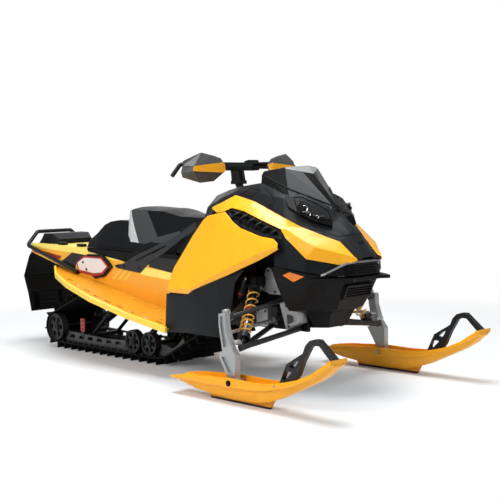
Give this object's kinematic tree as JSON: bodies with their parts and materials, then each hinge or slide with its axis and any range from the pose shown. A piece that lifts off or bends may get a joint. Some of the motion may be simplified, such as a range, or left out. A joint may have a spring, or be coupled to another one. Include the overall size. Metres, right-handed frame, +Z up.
{
  "type": "snowmobile",
  "caption": "Trail snowmobile with a lugged rubber track under a sheet tunnel, steered front skis, faceted bodywork, a low screen and a padded seat.",
  "frame": {"origin": "on the ground below the middle of the machine's overall box", "axes": "+X forward, +Y to the rider's left, +Z up"},
  "size_m": [3.048, 1.193, 1.164],
  "materials": {
    "yellow_panel": "glossy moulded in colour",
    "dark_panel": "fine grained",
    "black_plastic": "grained",
    "tunnel_paint": "painted sheet with darker fade",
    "black_metal": "satin black powder coat",
    "cast_metal": "as cast, satin",
    "steel": "ground bar",
    "seat_cover": "vinyl with grey side panels",
    "rubber": "moulded",
    "screen": "smoked clear plastic",
    "ski_plastic": "smooth moulded",
    "wheel_plastic": "moulded",
    "spring_paint": "gloss powder coat",
    "lamp": "clear lens over a dark housing",
    "yellow_paint": "satin paint",
    "reflector": "prismatic",
    "grey_bar": "satin"
  },
  "bodies": {
    "root": {"tunnel": "tunnel_paint", "board_edges": "yellow_paint", "running_boards": "tunnel_paint", "seat": "seat_cover", "storage_box": "black_plastic", "seat_brackets": "dark_panel", "tank": "black_plastic", "side_panels": "yellow_panel", "lower_panels": "dark_panel", "nose_strips": "yellow_panel", "hood": "dark_panel", "headlights": "lamp", "windshield": "screen", "vent_ducts": "black_plastic", "cheeks": "dark_panel", "side_reflectors": "reflector", "belly_pan": "dark_panel", "front_bumper": "black_plastic", "nose_grille": "black_plastic", "light_bar": "grey_bar", "bulkhead": "black_metal", "engine": "black_metal", "bulkhead_castings": "cast_metal", "suspension_arms": "black_metal", "front_shocks": "black_metal", "front_springs": "spring_paint", "steering_frame": "black_metal", "track": "rubber", "slide_rails": "grey_bar", "rear_idler_wheels": "wheel_plastic", "rail_wheels": "wheel_plastic", "drive_sprockets": "wheel_plastic", "upper_idler_wheels": "wheel_plastic", "skid_arms": "black_metal", "rear_bumper": "black_metal", "tail_light": "black_plastic", "snow_flap": "rubber", "side_plates": "black_plastic", "cargo_anchors": "black_plastic"},
    "handlebar": {"handlebar": "black_metal", "handlebar_riser": "black_metal", "bar_pad": "dark_panel", "grips": "rubber", "bar_controls": "black_plastic", "hand_guards": "dark_panel", "guard_bands": "yellow_panel"},
    "steering_rack": {"steering_rack": "steel"},
    "spindle_right": {"spindle_right": "cast_metal"},
    "spindle_left": {"spindle_left": "cast_metal"},
    "tie_rod_right": {"tie_rod_right": "grey_bar"},
    "tie_rod_left": {"tie_rod_left": "grey_bar"},
    "ski_right": {"ski_right": "ski_plastic", "ski_loop_right": "black_plastic", "ski_runner_right": "steel"},
    "ski_left": {"ski_left": "ski_plastic", "ski_loop_left": "black_plastic", "ski_runner_left": "steel"}
  },
  "joints": [
    {"name": "steering", "type": "hinge", "parent": "root", "child": "handlebar", "pos_m": [0.372, 0, 1.01], "axis": [-0.5, 0, 0.866], "range_deg": [-35, 35]},
    {"name": "rack_slide", "type": "slide", "parent": "root", "child": "steering_rack", "axis": [0, 1, 0], "range_m": [-0.038, 0.038]},
    {"name": "spindle_right_turn", "type": "hinge", "parent": "root", "child": "spindle_right", "pos_m": [0.9, -0.5, 0.247], "axis": [-0.4094, -0.0462, 0.9112], "range_deg": [-29, 29]},
    {"name": "tie_rod_right_turn", "type": "hinge", "parent": "spindle_right", "child": "tie_rod_right", "pos_m": [0.794, -0.506, 0.3], "axis": [-0.4094, -0.0462, 0.9112], "range_deg": [-29, 29]},
    {"name": "ski_right_pitch", "type": "hinge", "parent": "spindle_right", "child": "ski_right", "pos_m": [0.905, -0.5385, 0.097], "axis": [0, 1, 0], "range_deg": [-20, 12]},
    {"name": "spindle_left_turn", "type": "hinge", "parent": "root", "child": "spindle_left", "pos_m": [0.9, 0.5, 0.247], "axis": [-0.4094, 0.0462, 0.9112], "range_deg": [-29, 29]},
    {"name": "tie_rod_left_turn", "type": "hinge", "parent": "spindle_left", "child": "tie_rod_left", "pos_m": [0.794, 0.506, 0.3], "axis": [-0.4094, 0.0462, 0.9112], "range_deg": [-29, 29]},
    {"name": "ski_left_pitch", "type": "hinge", "parent": "spindle_left", "child": "ski_left", "pos_m": [0.905, 0.5385, 0.097], "axis": [0, 1, 0], "range_deg": [-20, 12]}
  ],
  "couplings": [
    {"joint": "rack_slide", "follows": "steering", "m_per_rad": -0.05991},
    {"joint": "spindle_right_turn", "follows": "steering", "ratio": 0.8},
    {"joint": "tie_rod_right_turn", "follows": "steering", "ratio": -0.8},
    {"joint": "spindle_left_turn", "follows": "steering", "ratio": 0.8},
    {"joint": "tie_rod_left_turn", "follows": "steering", "ratio": -0.8}
  ]
}
